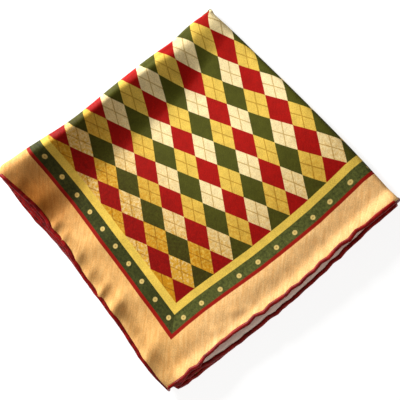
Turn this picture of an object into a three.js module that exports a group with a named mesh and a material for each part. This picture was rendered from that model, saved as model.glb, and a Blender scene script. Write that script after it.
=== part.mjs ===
import * as THREE from "three";

// A square silk scarf folded in half twice, lying flat, as one closed sheet of four layers.
// All lengths are millimetres. +X runs from the first fold to two of the hems, +Y from the other
// hems to the second fold, +Z is up. The origin is under the middle of the folded scarf.

// Driving dimensions.
const SCARF_SIDE = 430; // laid out flat, hems included
const SHEET = 1.0; // the cloth with the air that it holds
const HEM_ROLL = 2.5; // diameter of the rolled hem
const CLEARANCE = 0.45; // least gap between two layers
const HEM_EASE = 14; // the cloth rises to its rolled hem over this length
const HEM_FLAT = 3.6; // and is level with it for this length
const EDGE_DROP = 6; // a layer sinks over this length past the hem below it
const FOLD_DEPTH = 4; // how far inside its outline a fold's height is taken
const QUARTER = SCARF_SIDE / 2;
const HALF = QUARTER / 2;

// How far each edge lies outside a square of side QUARTER, at a share of the way along it.
// Both folds: from the scarf's centre to the hems.
const FIRST_FOLD = [
  { along: 0, upper: -1.4, lower: -1.4 },
  { along: 0.04, upper: 0.2, lower: 1.4 },
  { along: 0.12, upper: 0.9, lower: 2.8 },
  { along: 0.2, upper: -0.4, lower: 2.6 },
  { along: 0.3, upper: -0.2, lower: 3.2 },
  { along: 0.4, upper: -0.6, lower: 2.4 },
  { along: 0.5, upper: -0.6, lower: 1.4 },
  { along: 0.6, upper: 0.1, lower: 0.8 },
  { along: 0.7, upper: 1.2, lower: 1.6 },
  { along: 0.8, upper: 3.4, lower: 3.4 },
  { along: 0.9, upper: 6, lower: 5 },
  { along: 0.97, upper: 7, lower: 5.6 },
  { along: 1, upper: 4.6, lower: 3.8 },
];
const SECOND_FOLD = [
  { along: 0, outset: -7.8 },
  { along: 0.1, outset: -4.5 },
  { along: 0.25, outset: -1.7 },
  { along: 0.4, outset: 0.7 },
  { along: 0.6, outset: 3.2 },
  { along: 0.8, outset: 5.2 },
  { along: 1, outset: 6.2 },
];
// The hems at +X, from the second fold to the free corners.
const FAR_HEMS = [
  { along: 0, top: -6.4, second: -4.6, third: -4.6, bottom: -6.4 },
  { along: 0.1, top: -6.6, second: -3.6, third: -4, bottom: -5.6 },
  { along: 0.2, top: -6.2, second: -1.6, third: -2.2, bottom: -4.2 },
  { along: 0.42, top: -3.6, second: 1.8, third: 1.4, bottom: -0.8 },
  { along: 0.62, top: -4.8, second: 2, third: 1.6, bottom: -0.4 },
  { along: 0.75, top: -5.6, second: 1.4, third: 1.6, bottom: 0 },
  { along: 0.86, top: -3.4, second: -1, third: 1.6, bottom: 0.4 },
  { along: 1, top: -3.2, second: -1.6, third: 0.6, bottom: -0.4 },
];
// The hems at -Y, from the first fold to the free corners.
const NEAR_HEMS = [
  { along: 0, top: 2.6, second: 2.6, third: 7.4, bottom: 7.4 },
  { along: 0.08, top: -0.4, second: 1.8, third: 5, bottom: 7.4 },
  { along: 0.16, top: -2.8, second: 0.4, third: 3.2, bottom: 6.4 },
  { along: 0.25, top: -1.4, second: 0.8, third: 2.2, bottom: 3.9 },
  { along: 0.34, top: -2.7, second: -0.2, third: 1.4, bottom: 2.7 },
  { along: 0.45, top: -0.2, second: 0.8, third: 1.3, bottom: 1.6 },
  { along: 0.56, top: -0.2, second: 0.2, third: 0.3, bottom: 0.3 },
  { along: 0.68, top: -0.8, second: -0.7, third: -0.6, bottom: -0.6 },
  { along: 0.8, top: 0.3, second: -0.2, third: -0.2, bottom: -0.2 },
  { along: 0.92, top: 0.4, second: -2.5, third: -2.2, bottom: -2 },
  { along: 1, top: 0.3, second: -7.5, third: -7, bottom: -7 },
];
// Where the two folds meet, the lower layers stick out in a small pointed ear. outX and outY are
// how far, across and down its size over the flat cloth, and middle its distance down the cloth.
const EAR = { outX: -4.2, outY: 4.8, across: 6, down: 8, middle: 6 };
// The ridge of air along the first fold: its height, and how far inside the outline its crest is
// and it has come down.
const RIDGE = [
  { along: 0, rise: 1, crest: 12, foot: 26 },
  { along: 0.1, rise: 2.5, crest: 12, foot: 30 },
  { along: 0.2, rise: 5.5, crest: 12, foot: 34 },
  { along: 0.28, rise: 9.5, crest: 11, foot: 38 },
  { along: 0.36, rise: 11, crest: 9, foot: 40 },
  { along: 0.5, rise: 11.8, crest: 7, foot: 41 },
  { along: 0.65, rise: 12.6, crest: 5, foot: 45 },
  { along: 0.85, rise: 14.2, crest: 5, foot: 54 },
  { along: 1, rise: 12.8, crest: 5, foot: 64 },
];
const RIDGE_EDGE = 0.55; // the share of its height that the ridge has at the fold itself
const RIDGE_ROUND = 0.6; // how far its slope is rounded at top and foot
// Soft swells of the cloth, each an oval, lying in the gap over the named layer. The rows that
// name "top" shape the top layer alone. turn is in degrees from +X toward +Y.
const SWELLS = [
  { over: "second", x: -104, y: 94, length: 30, width: 24, turn: 0, rise: 2.2 },
  { over: "bottom", x: -104, y: 94, length: 30, width: 24, turn: 0, rise: 2.2 },
  { over: "second", x: -106, y: -26, length: 112, width: 12, turn: 90, rise: 2 },
  { over: "bottom", x: -106, y: -26, length: 112, width: 12, turn: 90, rise: 2 },
  { over: "third", x: -10, y: 104, length: 130, width: 10, turn: 0, rise: 1.9 },
  { over: "second", x: -14, y: 22, length: 88, width: 44, turn: 66, rise: 1.5 },
  { over: "third", x: 52, y: -30, length: 66, width: 30, turn: 112, rise: 1.2 },
  { over: "third", x: -66, y: -62, length: 34, width: 22, turn: 20, rise: 1 },
  { over: "second", x: -72, y: -86, length: 20, width: 10, turn: 74, rise: 1.6 },
  { over: "second", x: -20, y: -88, length: 22, width: 10, turn: 60, rise: 1.5 },
  { over: "second", x: 34, y: -90, length: 20, width: 10, turn: 82, rise: 1.3 },
  { over: "third", x: 82, y: -78, length: 26, width: 14, turn: 45, rise: 1.3 },
  { over: "second", x: 84, y: -4, length: 74, width: 10, turn: 90, rise: 1 },
  { over: "top", x: 85, y: -20, length: 90, width: 19, turn: 90, rise: 2.8 },
  { over: "top", x: 44, y: 74, length: 56, width: 56, turn: 0, rise: 5 },
  { over: "top", x: 30, y: 5, length: 60, width: 48, turn: 90, rise: 1.8 },
];

// Sampling of the sheet.
const SPAN_STEPS = 11; // from a fold to where the cloth rises to its hem
const BEND_STEPS = 6; // round a fold
const RISE_STATIONS = [14, 11.5, 9, 6.3]; // distances in from the hem's outer edge
const HEM_STATIONS = [3.6, 2.4, 2.0, 1.25, 0.5, 0];
const HEM_TIP = 0.35; // half height of the hem's outermost face

const LAYERS = ["top", "second", "third", "bottom"];
const UPPER_PAIR = { name: "upper", outer: "top", inner: "second", up: 1 };
const LOWER_PAIR = { name: "lower", outer: "bottom", inner: "third", up: -1 };

// Looks a column up at a share of the way along, with a smooth curve through the rows.
function lookUp(rows, column, along) {
  const t = Math.min(Math.max(along, 0), 1);
  let i = 0;
  while (i < rows.length - 2 && t > rows[i + 1].along) i++;
  const [a, b] = [rows[i], rows[i + 1]];
  const before = rows[i - 1] ?? a;
  const after = rows[i + 2] ?? b;
  const width = b.along - a.along;
  const slopeIn = ((b[column] - before[column]) / (b.along - before.along)) * width;
  const slopeOut = ((after[column] - a[column]) / (after.along - a.along)) * width;
  const s = (t - a.along) / width;
  const s2 = s * s;
  const s3 = s2 * s;
  return (
    a[column] * (2 * s3 - 3 * s2 + 1) +
    slopeIn * (s3 - 2 * s2 + s) +
    b[column] * (3 * s2 - 2 * s3) +
    slopeOut * (s3 - s2)
  );
}

const shareDown = (y) => (HALF - y) / QUARTER;
const shareAcross = (x) => (x + HALF) / QUARTER;
const farHemX = (layer, share) => HALF + lookUp(FAR_HEMS, layer, share);
const nearHemY = (layer, share) => -HALF - lookUp(NEAR_HEMS, layer, share);

// How far inside its two hems a layer is at (x, y).
function insideHems(layer, x, y) {
  return [farHemX(layer, shareDown(y)) - x, y - nearHemY(layer, shareAcross(x))];
}

// Half the height that a layer takes up at (x, y), eased up to its rolled hem.
function halfHeight(layer, x, y) {
  const nearest = Math.min(...insideHems(layer, x, y));
  const ease = 1 - THREE.MathUtils.smoothstep(nearest, HEM_FLAT, HEM_EASE);
  return THREE.MathUtils.lerp(SHEET / 2, HEM_ROLL / 2, ease);
}

// 1 where a layer lies under the others, falling to 0 past its hem.
function presence(layer, x, y) {
  return THREE.MathUtils.smoothstep(Math.min(...insideHems(layer, x, y)), -EDGE_DROP, 0);
}

function swell(layer, x, y) {
  let rise = 0;
  for (const s of SWELLS) {
    if (s.over !== layer) continue;
    const turn = THREE.MathUtils.degToRad(s.turn);
    const [dx, dy] = [x - s.x, y - s.y];
    const p = (dx * Math.cos(turn) + dy * Math.sin(turn)) / s.length;
    const q = (dy * Math.cos(turn) - dx * Math.sin(turn)) / s.width;
    rise += s.rise * Math.exp(-p * p - q * q);
  }
  return rise;
}

// The air under the top layer along the first fold.
function ridge(x, y) {
  const down = shareDown(y);
  const inside = x + HALF + lookUp(FIRST_FOLD, "upper", down);
  const crest = lookUp(RIDGE, "crest", down);
  const slope = lookUp(RIDGE, "foot", down) - crest;
  const climb = THREE.MathUtils.smoothstep(inside, 0, crest);
  const straight = THREE.MathUtils.clamp((inside - crest) / slope, 0, 1);
  const rounded = THREE.MathUtils.smoothstep(straight, 0, 1);
  const fall = THREE.MathUtils.lerp(straight, rounded, RIDGE_ROUND);
  const rise = lookUp(RIDGE, "rise", down);
  return rise * THREE.MathUtils.lerp(RIDGE_EDGE, 1, climb) * (1 - fall);
}

// Height of a layer's middle: its own half height on all that lies below it.
function layerZ(layer, x, y) {
  let z = halfHeight(layer, x, y);
  for (const under of LAYERS.slice(LAYERS.indexOf(layer) + 1)) {
    const room = 2 * halfHeight(under, x, y) + CLEARANCE + swell(under, x, y);
    z += presence(under, x, y) * room;
  }
  if (layer === "top") z += ridge(x, y) + swell("top", x, y);
  return z;
}

// The centre line of the first fold's loop, half a loop's height inside its outline.
function firstFoldX(pair, y) {
  const outline = -HALF - lookUp(FIRST_FOLD, pair, shareDown(y));
  const [high, low] = pair === "upper" ? ["top", "second"] : ["third", "bottom"];
  const x = outline + FOLD_DEPTH;
  return outline + (layerZ(high, x, y) - layerZ(low, x, y) + SHEET) / 2;
}

// The centre line of the second fold, half its height inside its outline.
function secondFoldY(x) {
  const outline = HALF + lookUp(SECOND_FOLD, "outset", shareAcross(x));
  const y = outline - FOLD_DEPTH;
  return outline - (layerZ("top", x, y) - layerZ("bottom", x, y) + SHEET) / 2;
}

// Stations across the scarf, from one hem over the fold to the other hem.
// share runs from 0 at the fold to 1 at the hem's outer edge, and bend is an angle on the fold.
function stations() {
  const span = 1 - RISE_STATIONS[0] / QUARTER;
  const side = [];
  for (let i = 0; i < SPAN_STEPS; i++) {
    const share = ((1 - Math.cos((Math.PI * i) / SPAN_STEPS)) / 2) * span;
    side.push({ share, inset: (1 - share) * QUARTER });
  }
  for (const inset of [...RISE_STATIONS, ...HEM_STATIONS])
    side.push({ share: 1 - inset / QUARTER, inset });
  const bend = [];
  for (let i = 1; i < BEND_STEPS; i++)
    bend.push({ share: 0, inset: QUARTER, bend: Math.PI * (i / BEND_STEPS - 0.5) });
  return [
    ...side.map((s) => ({ ...s, side: -1 })).reverse(),
    ...bend.map((s) => ({ ...s, side: 0 })),
    ...side.map((s) => ({ ...s, side: 1 })),
  ];
}

// Half thickness of the sheet: plain cloth, or the round of the rolled hem.
function halfSheet(u, v) {
  const radius = HEM_ROLL / 2;
  const round = (inset) => Math.sqrt(Math.max(radius ** 2 - (inset - radius) ** 2, 0));
  const plain = Math.min(u.inset, v.inset) < radius ? HEM_TIP : SHEET / 2;
  return Math.max(plain, round(u.inset), round(v.inset));
}

const middleZ = (a, b, x, y) => (layerZ(a, x, y) + layerZ(b, x, y)) / 2;
const halfSpace = (a, b, x, y) => (layerZ(a, x, y) - layerZ(b, x, y)) / 2;

// A point of the upper or lower pair of layers, which the first fold joins.
// The pair's outer layer lies toward +Z where up is 1, and toward -Z where it is -1.
function pointOnPair(u, pair, x, y, offset) {
  if (u.side > 0) return [x, y, layerZ(pair.outer, x, y) + pair.up * offset];
  if (u.side < 0) return [x, y, layerZ(pair.inner, x, y) - pair.up * offset];
  const radius = pair.up * halfSpace(pair.outer, pair.inner, x, y) + offset;
  const z = middleZ(pair.outer, pair.inner, x, y) + pair.up * radius * Math.sin(u.bend);
  return [x - radius * Math.cos(u.bend), y, z];
}

// A point round the second fold, where the top layer wraps round to the bottom one and the two
// between them do the same inside it. turn is 90 degrees at the top and -90 at the bottom.
function pointOnWrap(u, turn, x, y, offset) {
  const outer = halfSpace("top", "bottom", x, y);
  const inner = halfSpace("second", "third", x, y);
  const loop = (outer - inner) / 2 + offset;
  const between = (outer + inner) / 2;
  let radius = between + loop * Math.sin(u.bend);
  if (u.side > 0) radius = outer + offset;
  if (u.side < 0) radius = inner - offset;
  const middle = u.side < 0 ? middleZ("second", "third", x, y) : middleZ("top", "bottom", x, y);
  const outX = u.side === 0 ? x - loop * Math.cos(u.bend) : x;
  return [outX, y + radius * Math.cos(turn), middle + radius * Math.sin(turn)];
}

// How much of the ear's pull the cloth at u and v feels.
function earPull(u, v) {
  const p = (u.side * u.share * QUARTER) / EAR.across;
  const q = (v.side * v.share * QUARTER - EAR.middle) / EAR.down;
  return Math.exp(-p * p - q * q);
}

// The point at u across the first fold and v across the second, offset from the sheet's middle
// toward the printed side. u is above 0 on the top and bottom layers, v below 0 on the upper two.
function pointAt(u, v, offset) {
  const pair = v.side > 0 ? LOWER_PAIR : UPPER_PAIR;
  const layer = u.side < 0 ? pair.inner : pair.outer;
  const foldX = firstFoldX(pair.name, HALF - v.share * QUARTER);
  const x = THREE.MathUtils.lerp(foldX, farHemX(layer, v.share), u.share);
  const y = THREE.MathUtils.lerp(secondFoldY(x), nearHemY(layer, u.share), v.share);
  const point =
    v.side === 0 ? pointOnWrap(u, -v.bend, x, y, offset) : pointOnPair(u, pair, x, y, offset);
  const pull = earPull(u, v);
  return [point[0] + pull * EAR.outX, point[1] + pull * EAR.outY, point[2]];
}

// The closed sheet: its printed side, its reverse side and the thin walls along its hems.
function foldedSheet() {
  const across = stations();
  const along = stations();
  const columns = along.length;
  const sideCount = across.length * columns;
  const positions = [];
  for (const face of [1, -1])
    for (const u of across)
      for (const v of along) positions.push(...pointAt(u, v, face * halfSheet(u, v)));

  const printed = (i, j) => i * columns + j;
  const reverse = (i, j) => sideCount + printed(i, j);
  const faces = [];
  const quad = (a, b, c, d) => faces.push(a, b, c, a, c, d);
  const [lastI, lastJ] = [across.length - 1, columns - 1];
  for (let i = 0; i < lastI; i++) {
    for (let j = 0; j < lastJ; j++) {
      quad(printed(i, j), printed(i + 1, j), printed(i + 1, j + 1), printed(i, j + 1));
      quad(reverse(i, j), reverse(i, j + 1), reverse(i + 1, j + 1), reverse(i + 1, j));
    }
    quad(reverse(i, 0), reverse(i + 1, 0), printed(i + 1, 0), printed(i, 0));
    quad(printed(i, lastJ), printed(i + 1, lastJ), reverse(i + 1, lastJ), reverse(i, lastJ));
  }
  for (let j = 0; j < lastJ; j++) {
    quad(printed(0, j), printed(0, j + 1), reverse(0, j + 1), reverse(0, j));
    quad(reverse(lastI, j), reverse(lastI, j + 1), printed(lastI, j + 1), printed(lastI, j));
  }

  const geometry = new THREE.BufferGeometry();
  geometry.setAttribute("position", new THREE.Float32BufferAttribute(positions, 3));
  geometry.setIndex(faces);
  return geometry;
}

// Moves the geometry so that it stands on z = 0 with its box centred over the origin.
function standOnOrigin(geometry) {
  geometry.computeBoundingBox();
  const box = geometry.boundingBox;
  const centre = box.getCenter(new THREE.Vector3());
  geometry.translate(-centre.x, -centre.y, -box.min.z);
  geometry.computeVertexNormals();
  return geometry;
}

const silk = new THREE.MeshStandardMaterial({
  color: 0xd6a45a,
  roughness: 0.42,
  metalness: 0,
});

const scarf = new THREE.Mesh(standOnOrigin(foldedSheet()), silk);
scarf.name = "folded_scarf";

const part = new THREE.Group();
part.add(scarf);

export default part;
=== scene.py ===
import math

import bpy
import numpy as np
from mathutils import Matrix, Vector


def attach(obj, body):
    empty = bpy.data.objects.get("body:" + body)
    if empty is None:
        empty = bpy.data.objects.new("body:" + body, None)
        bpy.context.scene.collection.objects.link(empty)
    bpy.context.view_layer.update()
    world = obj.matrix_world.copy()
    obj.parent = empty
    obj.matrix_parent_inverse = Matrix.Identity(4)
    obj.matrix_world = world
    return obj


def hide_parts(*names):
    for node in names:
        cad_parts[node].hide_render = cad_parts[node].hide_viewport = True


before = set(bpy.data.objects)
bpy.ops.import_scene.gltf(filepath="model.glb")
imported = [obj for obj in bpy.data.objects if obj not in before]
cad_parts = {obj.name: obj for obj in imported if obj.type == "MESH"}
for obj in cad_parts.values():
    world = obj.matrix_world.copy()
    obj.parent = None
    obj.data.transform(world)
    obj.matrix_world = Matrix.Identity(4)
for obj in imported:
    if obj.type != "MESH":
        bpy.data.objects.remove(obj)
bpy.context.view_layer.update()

# The printed silk. One square of silk twill, its print paler on its back, folded in half twice
# and laid flat, four layers deep. Its two folds are soft rolls that hold air, and its edges run
# into the rolled hem of the next section. Its shape is worked out in millimetres.

SCARF_SIDE = 430.0  # laid out flat, hems included
QUARTER = SCARF_SIDE / 2
HALF = QUARTER / 2
SHEET = 1.0  # the height that a layer takes up, with its air
SILK = 0.34  # the cloth alone
HEM_ROLL = 2.5  # the height that the rolled hem takes up
CLEARANCE = 0.45  # between two layers that lie flat; by the folds it comes out less
HEM_FLAT = 3.6  # a layer is level with its hem for this length
HEM_EASE = 14.0  # and has come down from it at this distance
EDGE_DROP = 6.0  # a layer sinks over this length past the hem below it
FOLD_DEPTH = 4.0  # how far inside its outline a fold's height is taken
FIRST_BEND = 6.5  # flat length of half of the first fold's roll
SECOND_BEND = 7.0  # and of the second fold's
FOLD_REACH = 40.0  # the folds' own shapes fade over this flat length
BORDER = 188.7  # the plain border starts at this distance from the middle of the scarf
CENTRE = (2.685, 0.271)  # where the folded square's middle lies from the middle of its box

# How far each edge lies outside a square of side QUARTER, at a share of the way along it.
FIRST_FOLD = {
    "along": (0, 0.04, 0.12, 0.2, 0.3, 0.4, 0.5, 0.6, 0.7, 0.8, 0.9, 0.97, 1),
    "upper": (-1.4, 0.2, 0.9, -0.4, -0.2, -0.6, -0.6, 0.1, 1.2, 3.4, 6.0, 7.0, 4.6),
    "lower": (-1.4, 1.4, 2.8, 2.6, 3.2, 2.4, 1.4, 0.8, 1.6, 3.4, 5.0, 5.6, 3.8),
}
SECOND_FOLD = {
    "along": (0, 0.1, 0.25, 0.4, 0.6, 0.8, 1),
    "outset": (-7.8, -4.5, -1.7, 0.7, 3.2, 5.2, 6.2),
}
FAR_HEMS = {
    "along": (0, 0.1, 0.2, 0.42, 0.62, 0.75, 0.86, 1),
    "top": (-6.4, -6.6, -6.2, -3.6, -4.8, -5.6, -3.4, -3.2),
    "second": (-4.6, -3.6, -1.6, 1.8, 2.0, 1.4, -1.0, -1.6),
    "third": (-4.6, -4.0, -2.2, 1.4, 1.6, 1.6, 1.6, 0.6),
    "bottom": (-6.4, -5.6, -4.2, -0.8, -0.4, 0, 0.4, -0.4),
}
NEAR_HEMS = {
    "along": (0, 0.08, 0.16, 0.25, 0.34, 0.45, 0.56, 0.68, 0.8, 0.92, 1),
    "top": (2.6, -0.4, -2.8, -1.4, -2.7, -0.2, -0.2, -0.8, 0.3, 0.4, 0.3),
    "second": (2.6, 1.8, 0.4, 0.8, -0.2, 0.8, 0.2, -0.7, -0.2, -2.5, -7.5),
    "third": (7.4, 5.0, 3.2, 2.2, 1.4, 1.3, 0.3, -0.6, -0.2, -2.2, -7.0),
    "bottom": (7.4, 7.4, 6.4, 3.9, 2.7, 1.6, 0.3, -0.6, -0.2, -2.0, -7.0),
}
# Where the two folds meet, the lower layers stick out in a small pointed ear.
EAR = {"out_x": -4.2, "out_y": 4.8, "across": 6.0, "down": 8.0, "middle": 6.0}
# The silk's own shift in its plane, across the first fold, by flat distance from the second.
BOW = {
    "flat": (0, 13, 31, 49, 67, 85, 103, 121, 138, 156, 172, 215),
    "across_first": (-3.0, -2.8, -0.6, 0.8, 1.2, 1.2, 1.0, 0.1, -0.9, -1.7, -1.7, 0),
}
# The ridge of air along the first fold: its height, and how far inside the outline its crest
# is and it has come down.
RIDGE = {
    "along": (0, 0.1, 0.2, 0.28, 0.36, 0.5, 0.65, 0.85, 1),
    "rise": (1.0, 2.5, 5.5, 9.5, 11.0, 11.8, 12.6, 14.2, 12.8),
    "crest": (12, 12, 12, 11, 9, 7, 5, 5, 5),
    "foot": (26, 30, 34, 38, 40, 41, 45, 54, 64),
}
RIDGE_EDGE = 0.55  # the share of its height that the ridge has at the fold itself
RIDGE_ROUND = 0.6  # how far its slope is a curve and not straight
# How far the sewn hems waver in and out.
WAVER = {
    "far": {"top": 1.0, "second": 0.6, "third": 0.4, "bottom": 0.3},
    "near": {"top": 0.3, "second": 0.5, "third": 0.4, "bottom": 0.3},
}
WAVER_LENGTHS = (16.2, 10.6)  # of its long wave and its short one
WAVER_PARTS = (0.65, 0.35)  # and how much of it each makes
WAVER_STEP = 2.1  # how far each layer's long wave is out of step with the next, in radians
WAVER_STARTS = 0.12  # a hem wavers in full from this share of its length
WAVER_LIFT = 0.55  # the top layer's border rises and falls with its hem by this much
LIFT_REACH = 16  # it has settled at this distance from the hem
LIFT_AHEAD = 0.02  # and runs ahead of the hem by this share of its length
# Where the print lies across each fold before the folds pull it.
PRINTED_ACROSS = {"start": -105.0, "stretch": 0.9658}
PRINTED_DOWN = {"start": 107.5, "stretch": 1.0026}
# Soft swells of the cloth, each an oval, lying in the gap over the named layer. The rows that
# name "top" shape the top layer alone. turn is in degrees from +X toward +Y.
SWELLS = [
    {"over": "second", "x": -104, "y": 94, "length": 30, "width": 24, "turn": 0, "rise": 2.2},
    {"over": "bottom", "x": -104, "y": 94, "length": 30, "width": 24, "turn": 0, "rise": 2.2},
    {"over": "second", "x": -106, "y": -26, "length": 112, "width": 12, "turn": 90, "rise": 2.0},
    {"over": "bottom", "x": -106, "y": -26, "length": 112, "width": 12, "turn": 90, "rise": 2.0},
    {"over": "third", "x": -10, "y": 104, "length": 130, "width": 10, "turn": 0, "rise": 1.9},
    {"over": "second", "x": -14, "y": 22, "length": 88, "width": 44, "turn": 66, "rise": 1.5},
    {"over": "third", "x": 52, "y": -30, "length": 66, "width": 30, "turn": 112, "rise": 1.2},
    {"over": "third", "x": -66, "y": -62, "length": 34, "width": 22, "turn": 20, "rise": 1.0},
    {"over": "second", "x": -72, "y": -86, "length": 20, "width": 10, "turn": 74, "rise": 1.6},
    {"over": "second", "x": -20, "y": -88, "length": 22, "width": 10, "turn": 60, "rise": 1.5},
    {"over": "second", "x": 34, "y": -90, "length": 20, "width": 10, "turn": 82, "rise": 1.3},
    {"over": "third", "x": 82, "y": -78, "length": 26, "width": 14, "turn": 45, "rise": 1.3},
    {"over": "second", "x": 84, "y": -4, "length": 74, "width": 10, "turn": 90, "rise": 1.0},
    {"over": "top", "x": 85, "y": -20, "length": 90, "width": 19, "turn": 90, "rise": 2.8},
    {"over": "top", "x": 44, "y": 74, "length": 56, "width": 56, "turn": 0, "rise": 5.0},
    {"over": "top", "x": 30, "y": 5, "length": 60, "width": 48, "turn": 90, "rise": 1.8},
    {"over": "top", "x": -92, "y": -104, "length": 8, "width": 4, "turn": 115, "rise": 0.8},
    {"over": "top", "x": -70, "y": -103, "length": 10, "width": 5, "turn": 115, "rise": 0.8},
    {"over": "top", "x": -49, "y": -103, "length": 8, "width": 3.4, "turn": 115, "rise": 1.9},
    {"over": "top", "x": -36, "y": -104, "length": 7, "width": 2.4, "turn": 118, "rise": 1.4},
    {"over": "top", "x": -17, "y": -103, "length": 9, "width": 3.6, "turn": 120, "rise": 1.3},
    {"over": "top", "x": -1, "y": -103, "length": 8, "width": 3.6, "turn": 122, "rise": 1.3},
    {"over": "top", "x": 15.5, "y": -103, "length": 9, "width": 3.0, "turn": 118, "rise": 2.1},
    {"over": "top", "x": 31, "y": -100, "length": 11, "width": 5.0, "turn": 118, "rise": 3.0},
    {"over": "top", "x": 64, "y": -103, "length": 6, "width": 3.5, "turn": 120, "rise": 0.8},
    {"over": "top", "x": 75, "y": -101, "length": 15, "width": 6.5, "turn": 118, "rise": 2.8},
    {"over": "top", "x": 90, "y": -30, "length": 7, "width": 3.5, "turn": 70, "rise": 0.9},
    {"over": "top", "x": 93, "y": -48, "length": 8, "width": 4.5, "turn": 60, "rise": 0.8},
    {"over": "top", "x": 80, "y": 42, "length": 9, "width": 5, "turn": 70, "rise": 0.6},
]

LAYERS = ("top", "second", "third", "bottom")
SHEET_NAME = "printed_silk_sheet"


def smooth(value, low, high):
    t = np.clip((value - low) / (high - low), 0, 1)
    return t * t * (3 - 2 * t)


def mix(a, b, t):
    return a + (b - a) * t


def look_up(table, column, along):
    """A column at a share of the way along, with a smooth curve through its rows."""
    steps, values = (np.array(table[key], float) for key in ("along", column))
    t = np.clip(along, 0, 1)
    i = np.clip(np.searchsorted(steps, t, side="left") - 1, 0, len(steps) - 2)
    before, after = np.maximum(i - 1, 0), np.minimum(i + 2, len(steps) - 1)
    width = steps[i + 1] - steps[i]
    slope_in = (values[i + 1] - values[before]) / (steps[i + 1] - steps[before]) * width
    slope_out = (values[after] - values[i]) / (steps[after] - steps[i]) * width
    s = (t - steps[i]) / width
    s2, s3 = s**2, s**3
    return (
        values[i] * (2 * s3 - 3 * s2 + 1)
        + slope_in * (s3 - 2 * s2 + s)
        + values[i + 1] * (3 * s2 - 2 * s3)
        + slope_out * (s3 - s2)
    )


def share_down(y):
    return (HALF - y) / QUARTER


def share_across(x):
    return (x + HALF) / QUARTER


def waver(share, layer):
    """-1 to 1 along a hem, each layer's out of step with the next."""
    phase = WAVER_STEP * LAYERS.index(layer)
    long_wave, short_wave = (2 * math.pi * QUARTER / length for length in WAVER_LENGTHS)
    long_part, short_part = WAVER_PARTS
    return smooth(share, 0, WAVER_STARTS) * (
        long_part * np.sin(long_wave * share + phase)
        + short_part * np.sin(short_wave * share + 2 * phase)
    )


def far_hem_x(layer, share):
    wave = WAVER["far"][layer] * waver(share, layer)
    return HALF + look_up(FAR_HEMS, layer, share) + wave


def near_hem_y(layer, share):
    wave = WAVER["near"][layer] * waver(share, layer)
    return -HALF - look_up(NEAR_HEMS, layer, share) - wave


def inside_hems(layer, x, y):
    """How far inside the nearer of its two hems a layer is."""
    return np.minimum(
        far_hem_x(layer, share_down(y)) - x, y - near_hem_y(layer, share_across(x))
    )


def half_height(layer, x, y):
    ease = 1 - smooth(inside_hems(layer, x, y), HEM_FLAT, HEM_EASE)
    return mix(SHEET / 2, HEM_ROLL / 2, ease)


def swell(layer, x, y):
    rise = 0 * x
    for s in SWELLS:
        if s["over"] != layer:
            continue
        turn = math.radians(s["turn"])
        dx, dy = x - s["x"], y - s["y"]
        p = (dx * math.cos(turn) + dy * math.sin(turn)) / s["length"]
        q = (dy * math.cos(turn) - dx * math.sin(turn)) / s["width"]
        rise = rise + s["rise"] * np.exp(-p * p - q * q)
    return rise


def ridge(x, y):
    """The air under the top layer along the first fold."""
    down = share_down(y)
    inside = x + HALF + look_up(FIRST_FOLD, "upper", down)
    crest = look_up(RIDGE, "crest", down)
    climb = mix(RIDGE_EDGE, 1, smooth(inside, 0, crest))
    share = np.clip((inside - crest) / (look_up(RIDGE, "foot", down) - crest), 0, 1)
    fall = mix(share, smooth(share, 0, 1), RIDGE_ROUND)
    return look_up(RIDGE, "rise", down) * climb * (1 - fall)


def hem_lift(x, y):
    """The top layer's border, rising and falling with its wavering far hem."""
    down = share_down(y)
    inside = far_hem_x("top", down) - x
    wave = waver(down + LIFT_AHEAD, "top")
    return WAVER_LIFT * (1 + wave) * (1 - smooth(inside, 0, LIFT_REACH))


def layer_z(layer, x, y):
    """Height of a layer's middle: its own half height on all that lies below it."""
    z = half_height(layer, x, y)
    for under in LAYERS[LAYERS.index(layer) + 1 :]:
        presence = smooth(inside_hems(under, x, y), -EDGE_DROP, 0)
        z = z + presence * (2 * half_height(under, x, y) + CLEARANCE + swell(under, x, y))
    if layer == "top":
        z = z + ridge(x, y) + hem_lift(x, y) + swell("top", x, y)
    return z


def first_fold_x(pair, y):
    """The centre line of the first fold's loop, half a loop's height inside its outline."""
    outline = -HALF - look_up(FIRST_FOLD, pair, share_down(y))
    high, low = ("top", "second") if pair == "upper" else ("third", "bottom")
    x = outline + FOLD_DEPTH
    return outline + (layer_z(high, x, y) - layer_z(low, x, y) + SHEET) / 2


def second_fold_y(x):
    outline = HALF + look_up(SECOND_FOLD, "outset", share_across(x))
    y = outline - FOLD_DEPTH
    return outline - (layer_z("top", x, y) - layer_z("bottom", x, y) + SHEET) / 2


def printed_x(flat):
    """Where cloth at this flat distance from the first fold lies, before the folds pull it."""
    return PRINTED_ACROSS["start"] + flat * PRINTED_ACROSS["stretch"]


def printed_y(flat):
    return PRINTED_DOWN["start"] - flat * PRINTED_DOWN["stretch"]


def place_across(pair, layer, a, b):
    """x of the cloth at flat distances a from the first fold and b from the second."""
    down = np.clip((b - SECOND_BEND) / (QUARTER - SECOND_BEND), 0, 1)
    a = np.maximum(a, FIRST_BEND)
    fold = first_fold_x(pair, HALF - down * QUARTER) - printed_x(FIRST_BEND)
    hem = far_hem_x(layer, down) - printed_x(QUARTER)
    near_fold = 1 - smooth(a, FIRST_BEND, FOLD_REACH)
    near_hem = smooth(a, BORDER, QUARTER)
    bow = np.interp(b, BOW["flat"], BOW["across_first"]) * (1 - near_fold) * (1 - near_hem)
    return printed_x(a) + fold * near_fold + hem * near_hem + bow


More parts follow.
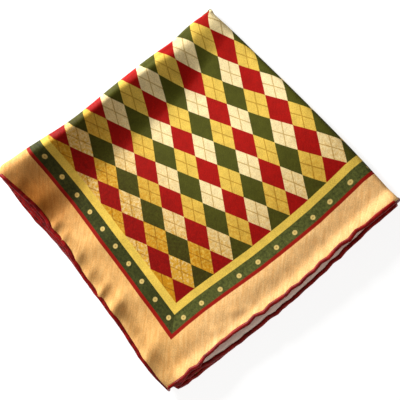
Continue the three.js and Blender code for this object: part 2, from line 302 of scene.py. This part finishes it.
def place_down(layer, x, a, b):
    """y of the same cloth."""
    across = np.clip((a - FIRST_BEND) / (QUARTER - FIRST_BEND), 0, 1)
    b = np.maximum(b, SECOND_BEND)
    fold = second_fold_y(x) - printed_y(SECOND_BEND)
    hem = near_hem_y(layer, across) - printed_y(QUARTER)
    near_fold = 1 - smooth(b, SECOND_BEND, FOLD_REACH)
    near_hem = smooth(b, BORDER, QUARTER)
    return printed_y(b) + fold * near_fold + hem * near_hem


def folded(flat_x, flat_y):
    """Where each point of the flat square lies once the scarf is folded, in metres.
    The top layer has flat_x above 0 and flat_y below 0."""
    a, b = np.abs(flat_x), np.abs(flat_y)
    bend = math.pi / 2 * np.clip(flat_x / FIRST_BEND, -1, 1)
    turn = -math.pi / 2 * np.clip(flat_y / SECOND_BEND, -1, 1)
    outer = flat_x >= 0

    x, y, z = {}, {}, {}
    for pair, layers in (("upper", ("top", "second")), ("lower", ("bottom", "third"))):
        x[pair] = np.where(outer, *(place_across(pair, layer, a, b) for layer in layers))
        y[pair] = np.where(outer, *(place_down(layer, x[pair], a, b) for layer in layers))

    # 0 on the upper pair, 1 on the lower, and between them round the second fold.
    lower = (1 - np.sin(turn)) / 2
    px, py = mix(x["upper"], x["lower"], lower), mix(y["upper"], y["lower"], lower)
    for layer in LAYERS:
        z[layer] = layer_z(layer, px, py)

    # On a pair of layers: flat, or round the first fold.
    up = np.where(flat_y <= 0, 1.0, -1.0)
    z_outer = np.where(flat_y <= 0, z["top"], z["bottom"])
    z_inner = np.where(flat_y <= 0, z["second"], z["third"])
    space = np.abs(z_outer - z_inner) / 2
    pair_x = px - space * np.cos(bend)
    pair_z = (z_outer + z_inner) / 2 + up * space * np.sin(bend)

    # Round the second fold, where the outer layer wraps the inner one.
    wide = (z["top"] - z["bottom"]) / 2
    slim = (z["second"] - z["third"]) / 2
    loop = (wide - slim) / 2
    radius = (wide + slim) / 2 + loop * np.sin(bend)
    middle = mix(
        (z["second"] + z["third"]) / 2, (z["top"] + z["bottom"]) / 2, (1 + np.sin(bend)) / 2
    )
    wrap_x = px - loop * np.cos(bend)
    wrap_y = py + radius * np.cos(turn)
    wrap_z = middle + radius * np.sin(turn)

    ear = np.exp(-((flat_x / EAR["across"]) ** 2) - ((flat_y - EAR["middle"]) / EAR["down"]) ** 2)
    wrapped = b < SECOND_BEND
    points = np.stack(
        [
            np.where(wrapped, wrap_x, pair_x) + ear * EAR["out_x"] + CENTRE[0],
            np.where(wrapped, wrap_y, py) + ear * EAR["out_y"] + CENTRE[1],
            np.where(wrapped, wrap_z, pair_z),
        ],
        axis=-1,
    )
    return points / 1000


ROLL_POINTS = 8  # round half of a fold's roll
SEEN_STEP = 1.6  # between points of the top layer
HIDDEN_STEP = 3.6  # between points of the layers below it


def stations(bend, step):
    """Flat distances from a fold to the middle of the hem, close together round the fold."""
    last = QUARTER - HEM_ROLL / 2
    roll = np.linspace(0, bend, ROLL_POINTS)
    span = np.linspace(bend, last, int((last - bend) / step) + 1)
    return np.concatenate([roll, span[1:]])


across = np.concatenate(
    [-stations(FIRST_BEND, HIDDEN_STEP)[:0:-1], stations(FIRST_BEND, SEEN_STEP)]
)
down = np.concatenate(
    [-stations(SECOND_BEND, SEEN_STEP)[:0:-1], stations(SECOND_BEND, HIDDEN_STEP)]
)

bpy.ops.object.select_all(action="DESELECT")
bpy.ops.mesh.primitive_grid_add(
    x_subdivisions=len(across) - 1, y_subdivisions=len(down) - 1, size=1, calc_uvs=True
)
silk = bpy.context.object
silk.name = silk.data.name = SHEET_NAME
silk_uv = silk.data.uv_layers.active
silk_uv.name = "flat_cloth"

corners = np.empty(len(silk.data.vertices) * 3)
silk.data.vertices.foreach_get("co", corners)
corners = corners.reshape(-1, 3)
column = np.rint((corners[:, 0] + 0.5) * (len(across) - 1)).astype(int)
row = np.rint((corners[:, 1] + 0.5) * (len(down) - 1)).astype(int)
flat_x, flat_y = across[column], down[row]
silk.data.vertices.foreach_set("co", folded(flat_x, flat_y).ravel())

# The silk has slid a little round the second fold, most at the corner where the folds meet, so
# that the middle of its print is not quite on the fold.
SLIDE = -3.6
CORNER_SLIDE = 10.8
SLIDE_ACROSS = 36.0
SLIDE_FADES = 54.0
slide = SLIDE + CORNER_SLIDE * np.exp(-((flat_x / SLIDE_ACROSS) ** 2))
slide *= 1 - smooth(np.abs(flat_y), 0, SLIDE_FADES)

loop_vertex = np.empty(len(silk.data.loops), int)
silk.data.loops.foreach_get("vertex_index", loop_vertex)
flat_uv = np.stack([flat_x, flat_y - slide], axis=-1)[loop_vertex] / SCARF_SIDE + 0.5
silk_uv.data.foreach_set("uv", flat_uv.ravel())
silk.data.update()


def colour(code, light=1.0):
    """A display colour as the linear one that the shaders use."""
    parts = [int(code[i : i + 2], 16) / 255 for i in (0, 2, 4)]
    linear = [c / 12.92 if c <= 0.04045 else ((c + 0.055) / 1.055) ** 2.4 for c in parts]
    return (*[c * light for c in linear], 1.0)


def maths(tree, kind, *values, clamp=False):
    node = tree.nodes.new("ShaderNodeMath")
    node.operation = kind
    node.use_clamp = clamp
    for socket, value in zip(node.inputs, values):
        if isinstance(value, (int, float)):
            socket.default_value = value
        else:
            tree.links.new(value, socket)
    return node.outputs[0]


def step_up(tree, value, edge, soft):
    """0 below an edge and 1 above it, blurred over twice the soft length."""
    node = tree.nodes.new("ShaderNodeMapRange")
    node.interpolation_type = "SMOOTHSTEP"
    tree.links.new(value, node.inputs["Value"])
    node.inputs["From Min"].default_value = edge - soft
    node.inputs["From Max"].default_value = edge + soft
    return node.outputs["Result"]


def blended(tree, factor, first, second, blend="MIX"):
    node = tree.nodes.new("ShaderNodeMix")
    node.data_type = "RGBA"
    node.blend_type = blend
    sockets = [s for s in node.inputs if s.type == "RGBA"]
    for socket, value in [(node.inputs["Factor"], factor), *zip(sockets, (first, second))]:
        if isinstance(value, (int, float, tuple)):
            socket.default_value = value
        else:
            tree.links.new(value, socket)
    return next(s for s in node.outputs if s.type == "RGBA")


def noise(tree, vector, scale, detail, rough=0.5):
    node = tree.nodes.new("ShaderNodeTexNoise")
    node.inputs["Scale"].default_value = scale
    node.inputs["Detail"].default_value = detail
    node.inputs["Roughness"].default_value = rough
    tree.links.new(vector, node.inputs["Vector"])
    return node.outputs["Fac"]


def set_inputs(node, values):
    for key, value in values.items():
        node.inputs[key].default_value = value


def add_bump(tree, height, shader, relief):
    bump = tree.nodes.new("ShaderNodeBump")
    set_inputs(bump, relief)
    tree.links.new(height, bump.inputs["Height"])
    tree.links.new(bump.outputs["Normal"], shader.inputs["Normal"])


# The print, laid out from the middle of the flat scarf in millimetres.
FIELD = 169.6  # half the argyle field
DIAMOND_ACROSS = FIELD / 5  # one diamond, across the first fold
DIAMOND_DOWN = FIELD / 9.5  # and across the second
DIAMOND_SPAN = 15.8  # between two parallel sides of a diamond
STRIPE = 6.1  # the yellow stripe round the field
BAND = 10.1  # the green band round the stripe
DOT = 1.9  # radius of the band's dots
DOT_EYE = 0.55  # and of the brown eye in each
EYE_STRENGTH = 0.7
NEAR_DOTS = {"last": 174.4, "pitch": 17.88, "middle": 180.6}  # the row along the near side
FAR_DOTS = {"last": 171.5, "pitch": 17.29, "middle": 181.9}  # and along the far one
PRINT_EDGE = 0.22  # how far two colours bleed into each other
GREEN = colour("494A12")
RED = colour("9E0E06")
YELLOW = colour("DBB950")
CREAM = colour("EBD8A4")
STRIPE_YELLOW = colour("DAB84C")
BAND_GREEN = colour("5C602C")
BAND_DARK = colour("383C1A")
BAND_PAINTED_SHADE = (0.55, 0.55, 0.5, 1)  # painted shade: what is left of the band's colour on the near sides
DOT_CREAM = colour("CFB46A")
DOT_BROWN = colour("8E6A30")
RED_STRIPE = colour("8E1408")
GOLD = colour("E2AC6A")
GOLD_LIGHT = colour("F0C384")
GOLD_PAINTED_SHADE = (0.88, 0.82, 0.68, 1)  # and of the gold's, also painted shade
TROUGH_PAINTED_SHADE = (0.56, 0.36, 0.17, 1)  # and of all colours' in the painted shade of the trough behind the first fold's ridge
TROUGH_SHADE_AT = 33.0  # the middle of that painted shade, from the first fold
OVERCHECK_STRENGTH = 0.7
# Each pair below is the middle of a soft change and half of its length, in millimetres.
TROUGH_SHADE_ACROSS = (25, 22)  # from TROUGH_SHADE_AT
TROUGH_SHADE_DOWN = (180, 30)
GOLD_SHADE_CHANGE = (-20, 30)  # from the far sides' gold to the near sides' painted shade
AGE_AND_SHADE_FAR = (140, 40)
AGE_AND_SHADE_NEAR = (130, 44)
DOT_RIM = (DOT, 0.35)
EYE_RIM = (DOT_EYE, 0.4)
DOTS_START = (FIELD + STRIPE, 0.1)  # no dot reaches inside the band
# The same, but in shares of a diamond for the first and of the noise's 0 to 1 for the others.
OVERCHECK = (0.026, 0.012)
BAND_MOTTLE = (0.5, 0.22)
GOLD_SLUB = (0.5, 0.25)
CHECK_SHADE = (0.50, 0.38, 0.16, 1)  # what the overcheck's line leaves of the dye under it
AGED_ALL = 0.08  # how far age has gone everywhere
MOTTLE = 3.6  # how strongly it comes and goes
DYE_LEVEL = 0.97
BLOTCH = 0.5  # how strongly the dye varies in soft blotches
FLECK = 0.9  # and in fine grain
TWILL_PITCH = 0.55  # between two ribs, millimetres
BIAS = 0.7071  # the twill runs at 45 degrees
SLUB_ACROSS = 0.75  # how close the slubs lie across the twill
SLUB_ALONG = 0.07  # and along it
# The print's noises, their scale by the millimetre.
BLOTCHES = {"scale": 0.16, "detail": 3.0}
MOTTLES = {"scale": 0.45, "detail": 4.0, "rough": 0.7}
FLECKS = {"scale": 1.1, "detail": 2.0, "rough": 0.65}
SLUBS = {"scale": 1.0, "detail": 2.0}
AGED_AND_SHADED_FAR = 0.42  # how far age and painted shade have gone at the field's sides
AGED_AND_SHADED_NEAR = 0.74  # and at its ends
AGED_AND_SHADED_PALE = (0.68, 0.42, 0.06, 1)  # what age and painted shade take from the pale dyes near the field's corners
AGED_AND_SHADED_DARK = (0.60, 0.46, 0.40, 1)  # and from the dark ones

print_group = bpy.data.node_groups.new("scarf_print", "ShaderNodeTree")
print_group.interface.new_socket("Flat", in_out="INPUT", socket_type="NodeSocketVector")
print_group.interface.new_socket("Color", in_out="OUTPUT", socket_type="NodeSocketColor")
print_group.interface.new_socket("Twill", in_out="OUTPUT", socket_type="NodeSocketFloat")
print_group.interface.new_socket("Slub", in_out="OUTPUT", socket_type="NodeSocketFloat")
g = print_group
flat_in = g.nodes.new("NodeGroupInput").outputs["Flat"]
print_out = g.nodes.new("NodeGroupOutput")
apart = g.nodes.new("ShaderNodeSeparateXYZ")
g.links.new(flat_in, apart.inputs[0])
run_x = maths(g, "MULTIPLY_ADD", apart.outputs[0], SCARF_SIDE, -SCARF_SIDE / 2)
run_y = maths(g, "MULTIPLY_ADD", apart.outputs[1], SCARF_SIDE, -SCARF_SIDE / 2)
from_x, from_y = maths(g, "ABSOLUTE", run_x), maths(g, "ABSOLUTE", run_y)
from_middle = maths(g, "MAXIMUM", from_x, from_y)

# Argyle: dark diamonds at whole steps, light ones between them.
m = maths(g, "DIVIDE", run_x, DIAMOND_ACROSS)
n = maths(g, "DIVIDE", run_y, -DIAMOND_DOWN)
near_m, near_n = maths(g, "ROUND", m), maths(g, "ROUND", n)
off_m = maths(g, "ABSOLUTE", maths(g, "SUBTRACT", m, near_m))
off_n = maths(g, "ABSOLUTE", maths(g, "SUBTRACT", n, near_n))
off_dark = maths(g, "ADD", off_m, off_n)
is_light = step_up(g, off_dark, 0.5, PRINT_EDGE / DIAMOND_SPAN)
is_red = maths(g, "FLOORED_MODULO", near_n, 2.0)
cell_m, cell_n = maths(g, "FLOOR", m), maths(g, "FLOOR", n)
is_yellow = maths(g, "FLOORED_MODULO", maths(g, "ADD", cell_m, cell_n), 2.0)
in_m = maths(g, "SUBTRACT", maths(g, "SUBTRACT", m, cell_m), 0.5)
in_n = maths(g, "SUBTRACT", maths(g, "SUBTRACT", n, cell_n), 0.5)
check = maths(
    g,
    "MINIMUM",
    maths(g, "ABSOLUTE", maths(g, "ADD", in_m, in_n)),
    maths(g, "ABSOLUTE", maths(g, "SUBTRACT", in_m, in_n)),
)
on_check = maths(g, "SUBTRACT", 1.0, step_up(g, check, *OVERCHECK))
dark = blended(g, is_red, GREEN, RED)
light = blended(g, is_yellow, CREAM, YELLOW)

# The field is printed to look aged: its dyes deepen toward its edges and corners in soft, uneven
# mottles. Part of this darkening is painted shade, where the light falls off toward the field's
# edges and corners.
cloth_at = g.nodes.new("ShaderNodeCombineXYZ")
g.links.new(run_x, cloth_at.inputs[0])
g.links.new(run_y, cloth_at.inputs[1])
blotch = noise(g, cloth_at.outputs[0], **BLOTCHES)
mottle = noise(g, cloth_at.outputs[0], **MOTTLES)
aged_and_shaded_far, aged_and_shaded_near = step_up(g, from_x, *AGE_AND_SHADE_FAR), step_up(g, from_y, *AGE_AND_SHADE_NEAR)
aged_and_shaded = maths(g, "MULTIPLY_ADD", aged_and_shaded_far, AGED_AND_SHADED_FAR, AGED_ALL)
aged_and_shaded = maths(g, "MULTIPLY_ADD", aged_and_shaded_near, AGED_AND_SHADED_NEAR, aged_and_shaded)
mottled = maths(g, "MULTIPLY_ADD", maths(g, "SUBTRACT", mottle, 0.5), MOTTLE, 1.0)
aged_and_shaded = maths(g, "MULTIPLY", aged_and_shaded, mottled, clamp=True)
light = blended(g, aged_and_shaded, light, blended(g, 1.0, light, AGED_AND_SHADED_PALE, "MULTIPLY"))
dark = blended(g, aged_and_shaded, dark, blended(g, 1.0, dark, AGED_AND_SHADED_DARK, "MULTIPLY"))
checked = blended(g, 1.0, light, CHECK_SHADE, "MULTIPLY")
light = blended(g, maths(g, "MULTIPLY", on_check, OVERCHECK_STRENGTH), light, checked)
printed = blended(g, is_light, dark, light)

# The bands round the field, and the dots on the green one.
printed = blended(g, step_up(g, from_middle, FIELD, PRINT_EDGE), printed, STRIPE_YELLOW)
band = blended(g, step_up(g, mottle, *BAND_MOTTLE), BAND_DARK, BAND_GREEN)
on_near = maths(g, "GREATER_THAN", from_y, from_x)
# Painted shade darkens the band on the near sides.
band = blended(g, on_near, band, blended(g, 1.0, band, BAND_PAINTED_SHADE, "MULTIPLY"))
printed = blended(g, step_up(g, from_middle, FIELD + STRIPE, PRINT_EDGE), printed, band)


def dot_distance(along, across_band, last, pitch, middle):
    """Distance to the nearest dot of a row that ends at last and runs on over the fold."""
    shifted = maths(g, "ADD", along, pitch / 2 - last)
    wrapped = maths(g, "SUBTRACT", maths(g, "FLOORED_MODULO", shifted, pitch), pitch / 2)
    sideways = maths(g, "SUBTRACT", across_band, middle)
    square = maths(
        g, "ADD", maths(g, "MULTIPLY", wrapped, wrapped), maths(g, "MULTIPLY", sideways, sideways)
    )
    return maths(g, "SQRT", square)


near_row = dot_distance(from_x, from_y, **NEAR_DOTS)
far_row = dot_distance(from_y, from_x, **FAR_DOTS)
dot = maths(
    g,
    "ADD",
    maths(g, "MULTIPLY", on_near, near_row),
    maths(g, "MULTIPLY", maths(g, "SUBTRACT", 1.0, on_near), far_row),
)
in_band = step_up(g, from_middle, *DOTS_START)
on_dot = maths(g, "MULTIPLY", maths(g, "SUBTRACT", 1.0, step_up(g, dot, *DOT_RIM)), in_band)
on_eye = maths(g, "MULTIPLY", maths(g, "SUBTRACT", 1.0, step_up(g, dot, *EYE_RIM)), in_band)
printed = blended(g, on_dot, printed, DOT_CREAM)
printed = blended(g, maths(g, "MULTIPLY", on_eye, EYE_STRENGTH), printed, DOT_BROWN)
printed = blended(
    g, step_up(g, from_middle, FIELD + STRIPE + BAND, PRINT_EDGE), printed, RED_STRIPE
)

# Streaks along the twill, on the bias of the cloth.
bias = maths(g, "MULTIPLY", maths(g, "ADD", run_x, run_y), BIAS)
grain = maths(g, "MULTIPLY", maths(g, "SUBTRACT", run_x, run_y), BIAS)
streak_at = g.nodes.new("ShaderNodeCombineXYZ")
g.links.new(maths(g, "MULTIPLY", bias, SLUB_ACROSS), streak_at.inputs[0])
g.links.new(maths(g, "MULTIPLY", grain, SLUB_ALONG), streak_at.inputs[1])
slub = noise(g, streak_at.outputs[0], **SLUBS)
border_gold = blended(g, step_up(g, slub, *GOLD_SLUB), GOLD, GOLD_LIGHT)
# Painted shade darkens the gold on the near sides.
shaded_gold = blended(g, 1.0, border_gold, GOLD_PAINTED_SHADE, "MULTIPLY")
toward_near_shade = step_up(g, maths(g, "SUBTRACT", from_y, from_x), *GOLD_SHADE_CHANGE)
border_gold = blended(g, toward_near_shade, border_gold, shaded_gold)
printed = blended(g, step_up(g, from_middle, BORDER, PRINT_EDGE), printed, border_gold)

# Painted shade: all colours are darkened on the near side by the first fold, in the trough behind
# its ridge, as the gold and band are on the near sides; light and shape alone left them too pale
# there.
off_trough_shade = maths(g, "ABSOLUTE", maths(g, "SUBTRACT", from_x, TROUGH_SHADE_AT))
by_fold = maths(g, "SUBTRACT", 1.0, step_up(g, off_trough_shade, *TROUGH_SHADE_ACROSS))
toward_hem = step_up(g, from_y, *TROUGH_SHADE_DOWN)
trough_shaded = blended(g, 1.0, printed, TROUGH_PAINTED_SHADE, "MULTIPLY")
printed = blended(g, maths(g, "MULTIPLY", by_fold, toward_hem), printed, trough_shaded)

# The dye takes unevenly: soft blotches, and fine grain.
fleck = noise(g, cloth_at.outputs[0], **FLECKS)
uneven = maths(g, "MULTIPLY_ADD", maths(g, "SUBTRACT", blotch, 0.5), BLOTCH, DYE_LEVEL)
uneven = maths(g, "MULTIPLY_ADD", maths(g, "SUBTRACT", fleck, 0.5), FLECK, uneven)
shade = g.nodes.new("ShaderNodeCombineXYZ")
for socket in shade.inputs:
    g.links.new(uneven, socket)
printed = blended(g, 1.0, printed, shade.outputs[0], "MULTIPLY")
g.links.new(printed, print_out.inputs["Color"])

# The twill's own ribs, and the slubs in its yarn.
ribs = maths(g, "SINE", maths(g, "MULTIPLY", bias, 2 * math.pi / TWILL_PITCH))
g.links.new(ribs, print_out.inputs["Twill"])
g.links.new(slub, print_out.inputs["Slub"])


SLUB_GLOSS = 0.16  # how much rougher a slub is than the ground
TWILL_RELIEF = 0.15  # how high a rib stands beside a slub
SILK_RELIEF = {"Strength": 0.25, "Distance": 0.0003}
SILK_GLOSS = {"Specular IOR Level": 0.07, "Sheen Roughness": 0.35}


def silk_material(name, pale, pale_share, roughness, sheen):
    """Printed silk, its print faded toward a pale colour by a share of the way."""
    material = bpy.data.materials.new(name)
    material.use_nodes = True
    tree = material.node_tree
    shader = tree.nodes["Principled BSDF"]
    uv = tree.nodes.new("ShaderNodeUVMap")
    uv.uv_map = "flat_cloth"
    print_node = tree.nodes.new("ShaderNodeGroup")
    print_node.node_tree = print_group
    tree.links.new(uv.outputs["UV"], print_node.inputs["Flat"])
    base = blended(tree, pale_share, print_node.outputs["Color"], pale)
    tree.links.new(base, shader.inputs["Base Color"])
    yarn = print_node.outputs["Slub"]
    gloss = maths(tree, "MULTIPLY_ADD", yarn, SLUB_GLOSS, roughness - SLUB_GLOSS / 2)
    tree.links.new(gloss, shader.inputs["Roughness"])
    relief = maths(tree, "MULTIPLY_ADD", print_node.outputs["Twill"], TWILL_RELIEF, yarn)
    add_bump(tree, relief, shader, SILK_RELIEF)
    shader.inputs["Sheen Weight"].default_value = sheen
    set_inputs(shader, SILK_GLOSS)
    return material


silk.data.materials.append(silk_material("silk_face", colour("F2E2B8"), 0.0, 0.66, 0.0))
silk.data.materials.append(silk_material("silk_back", colour("FFEADC"), 0.93, 0.4, 0.1))

thicken = silk.modifiers.new("cloth", "SOLIDIFY")
thicken.thickness = SILK / 1000
thicken.offset = 0
thicken.use_rim = True
thicken.material_offset = 1
thicken.material_offset_rim = 0
bpy.ops.object.modifier_apply(modifier=thicken.name)
bpy.ops.object.shade_smooth()

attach(silk, "root")
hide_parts("folded_scarf")

# The rolled hem. The scarf's own edge, rolled over by hand and slip-stitched all round in red:
# one soft cord of silk on the edge's line. Its rings are about as far apart as its stitches, so
# the dips at the stitches only make it uneven, and it cuts its tightest curves short.

HEM_WIDE = 1.62  # half width in the plane of the cloth, millimetres
HEM_TALL = 1.22  # half height
STITCH = 6.5  # between two stitches
HEM_SIDES = 12  # flat faces round the cord
HEM_STEPS = 1500  # on the line that the cord follows
HEM_RINGS = 256  # on the cord itself, the most that Blender's torus makes
PINCH = {"depth": 0.13, "length": 1.1}  # the dip at a stitch
LUMP = {"height": 0.07, "short": 11.3, "long": 37.1}  # and the slow swell between dips
CORNER = 1.6  # radius of the hem's corners
HALF_CORNER = 0.01  # the share of a side that half of a corner takes
INWARD = 0.992  # a little inside the hem, to find which way is out

# The hem's middle line, once round the flat scarf, its corners a little round.
edge = QUARTER - HEM_ROLL / 2
straight = edge - CORNER
run = np.arange(HEM_STEPS) / HEM_STEPS * 4
side, share = np.floor(run).astype(int), run % 1
t = np.clip((share - HALF_CORNER) / (1 - 2 * HALF_CORNER), 0, 1)
line_x, line_y = mix(-straight, straight, t), np.full(HEM_STEPS, -edge)
start = share < HALF_CORNER
end = share > 1 - HALF_CORNER
angle = np.where(start, (HALF_CORNER - share) / HALF_CORNER, 0) * math.pi / 4
angle_end = np.where(end, (share - 1 + HALF_CORNER) / HALF_CORNER, 0) * math.pi / 4
line_x = np.where(start, -straight - CORNER * np.sin(angle), line_x)
line_y = np.where(start, -straight - CORNER * np.cos(angle), line_y)
line_x = np.where(end, straight + CORNER * np.sin(angle_end), line_x)
line_y = np.where(end, -straight - CORNER * np.cos(angle_end), line_y)
turns = side * math.pi / 2
hem_x = line_x * np.cos(turns) - line_y * np.sin(turns)
hem_y = line_x * np.sin(turns) + line_y * np.cos(turns)

bpy.ops.object.select_all(action="DESELECT")
bpy.ops.mesh.primitive_torus_add(
    major_segments=HEM_RINGS, minor_segments=HEM_SIDES, major_radius=1, minor_radius=0.2
)
hem = bpy.context.object
hem.name = hem.data.name = "rolled_hem"
ring = np.empty(len(hem.data.vertices) * 3)
hem.data.vertices.foreach_get("co", ring)
ring = ring.reshape(-1, 3)
around = np.arctan2(ring[:, 2], np.hypot(ring[:, 0], ring[:, 1]) - 1)
station = np.rint(np.arctan2(ring[:, 1], ring[:, 0]) / (2 * math.pi) * HEM_STEPS).astype(int)
station %= HEM_STEPS

middle = folded(hem_x, hem_y) * 1000
inward = folded(hem_x * INWARD, hem_y * INWARD) * 1000
tangent = np.roll(middle, -1, axis=0) - np.roll(middle, 1, axis=0)
tangent /= np.linalg.norm(tangent, axis=1, keepdims=True)
out = middle - inward
out -= tangent * (out * tangent).sum(axis=1, keepdims=True)
out /= np.linalg.norm(out, axis=1, keepdims=True)
face = np.cross(tangent, out)

length = np.concatenate([[0], np.cumsum(np.linalg.norm(np.diff(middle, axis=0), axis=1))])
from_stitch = (length % STITCH) - STITCH / 2
pinch = 1 - PINCH["depth"] * np.exp(-((from_stitch / PINCH["length"]) ** 2))
short_lump, long_lump = (np.sin(length * 2 * math.pi / LUMP[key]) for key in ("short", "long"))
lump = 1 + LUMP["height"] * short_lump * long_lump
wide, tall = HEM_WIDE * pinch * lump, HEM_TALL * pinch * lump
hem_points = (
    middle[station]
    + out[station] * (wide[station] * np.cos(around))[:, None]
    + face[station] * (tall[station] * np.sin(around))[:, None]
)
hem.data.vertices.foreach_set("co", (hem_points / 1000).ravel())
hem.data.update()

hem_uv = hem.data.uv_layers.active or hem.data.uv_layers.new()
hem_uv.name = "hem_run"
hem_loops = np.empty(len(hem.data.loops), int)
hem.data.loops.foreach_get("vertex_index", hem_loops)
along_uv = (length[station] / 10)[hem_loops]
around_uv = (around / (2 * math.pi) + 0.5)[hem_loops]
polygon = np.repeat(np.arange(len(hem.data.polygons)), 4)
for values, period in ((along_uv, (length[-1] + 1) / 10), (around_uv, 1.0)):
    # The polygons that close the cord, along it and round it, run on past its end.
    highest = np.maximum.reduceat(values, np.arange(0, len(values), 4))[polygon]
    values += np.where(highest - values > period / 2, period, 0)
hem_uv.data.foreach_set("uv", np.stack([along_uv, around_uv], axis=-1).ravel())

bpy.ops.object.mode_set(mode="EDIT")
bpy.ops.mesh.select_all(action="SELECT")
bpy.ops.mesh.normals_make_consistent(inside=False)
bpy.ops.object.mode_set(mode="OBJECT")
bpy.ops.object.shade_smooth()


HEM_DYE = {"scale": 2.0, "detail": 3.0}
HEM_CHANGE = (0.5, 0.25)  # from the deep dye to the clear, in the noise's 0 to 1
ROLL_SLANT = 38  # degrees
ROLL_MARKS = {"Scale": 4.0, "Distortion": 4.0}
HEM_RELIEF = {"Strength": 0.2, "Distance": 0.0003}
HEM_ROUGH = (0.2, 0.3)  # by its dye, and at the least
HEM_SPECULAR = 0.12


def hem_material(name, deep, clear):
    """Red silk rolled over, its dye deep or clear, with the faint slant of the roll."""
    material = bpy.data.materials.new(name)
    material.use_nodes = True
    tree = material.node_tree
    shader = tree.nodes["Principled BSDF"]
    uv = tree.nodes.new("ShaderNodeUVMap")
    uv.uv_map = "hem_run"
    dye = noise(tree, uv.outputs["UV"], **HEM_DYE)
    base = blended(tree, step_up(tree, dye, *HEM_CHANGE), deep, clear)
    tree.links.new(base, shader.inputs["Base Color"])
    twist = tree.nodes.new("ShaderNodeMapping")
    twist.inputs["Rotation"].default_value = (0, 0, math.radians(ROLL_SLANT))
    tree.links.new(uv.outputs["UV"], twist.inputs["Vector"])
    wave = tree.nodes.new("ShaderNodeTexWave")
    set_inputs(wave, ROLL_MARKS)
    tree.links.new(twist.outputs["Vector"], wave.inputs["Vector"])
    add_bump(tree, wave.outputs["Fac"], shader, HEM_RELIEF)
    tree.links.new(maths(tree, "MULTIPLY_ADD", dye, *HEM_ROUGH), shader.inputs["Roughness"])
    shader.inputs["Specular IOR Level"].default_value = HEM_SPECULAR
    return material


# Like the gold, the red is darker on the two near sides than on the two far ones: painted shade.
hem.data.materials.append(hem_material("hem_silk_far", colour("5C0604"), colour("94140C")))
hem.data.materials.append(hem_material("hem_silk_near_painted_shade", colour("4C0505"), colour("900E0C")))
on_near_side = (side[station] % 2 == 0)[hem_loops].reshape(-1, 4).all(axis=1)
hem.data.polygons.foreach_set("material_index", on_near_side.astype(int))
hem.data.update()

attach(hem, "root")

# The table that the scarf lies on, pale and plain, the key light from its first fold's side, a
# weak fill light from the other side, and the camera above it. None of them is part of the scarf.

TABLE_LOOK = {
    "Base Color": (0.25, 0.25, 0.25, 1),
    "Roughness": 0.9,
    "Specular IOR Level": 0.1,
    "Emission Color": (1, 1, 1, 1),
    "Emission Strength": 0.85,  # it shines by itself, to be white
}
ROOM_LOOK = {"Color": (1, 0.88, 0.74, 1), "Strength": 0.15}

bpy.ops.object.select_all(action="DESELECT")
bpy.ops.mesh.primitive_plane_add(size=4, location=(0, 0, -0.0002))
table = bpy.context.object
table.name = "pale_table"
pale = bpy.data.materials.new("pale_table")
pale.use_nodes = True
set_inputs(pale.node_tree.nodes["Principled BSDF"], TABLE_LOOK)
table.data.materials.append(pale)

world = bpy.data.worlds.new("soft_room")
world.use_nodes = True
set_inputs(world.node_tree.nodes["Background"], ROOM_LOOK)
bpy.context.scene.world = world


def soft_box(name, place, aim, size, power):
    """A square lamp at a place, turned to face what it aims at."""
    bpy.ops.object.light_add(type="AREA", location=place)
    lamp = bpy.context.object
    lamp.name = name
    lamp.data.shape = "SQUARE"
    lamp.data.size = size
    lamp.data.energy = power
    away = Vector(place) - Vector(aim)
    lamp.rotation_mode = "QUATERNION"
    lamp.rotation_quaternion = away.to_track_quat("Z", "Y")


soft_box("key", (-0.85, -0.14, 0.35), (0, 0, 0), 0.2, 21.5)
soft_box("fill", (0.6, -0.35, 0.55), (0, 0, 0), 0.5, 2.2)

CAMERA_AT = (0.12871, 0.02006, 0.52681)
VIEW_RIGHT = Vector((0.60737734, 0.77625852, -0.16886527))
VIEW_DOWN = Vector((0.76248445, -0.62930117, -0.15032466))
VIEW_FORWARD = Vector((-0.22295791, -0.03745335, -0.97410832))
camera = bpy.data.objects.new("camera", bpy.data.cameras.new("camera"))
bpy.context.scene.collection.objects.link(camera)
camera.data.lens = 63
camera.data.sensor_width = 36
camera.data.clip_start = 0.01
camera.matrix_world = Matrix.Translation(CAMERA_AT) @ Matrix(
    (VIEW_RIGHT, -VIEW_DOWN, -VIEW_FORWARD)
).transposed().to_4x4()
bpy.context.scene.camera = camera
bpy.context.scene.view_settings.view_transform = "Standard"
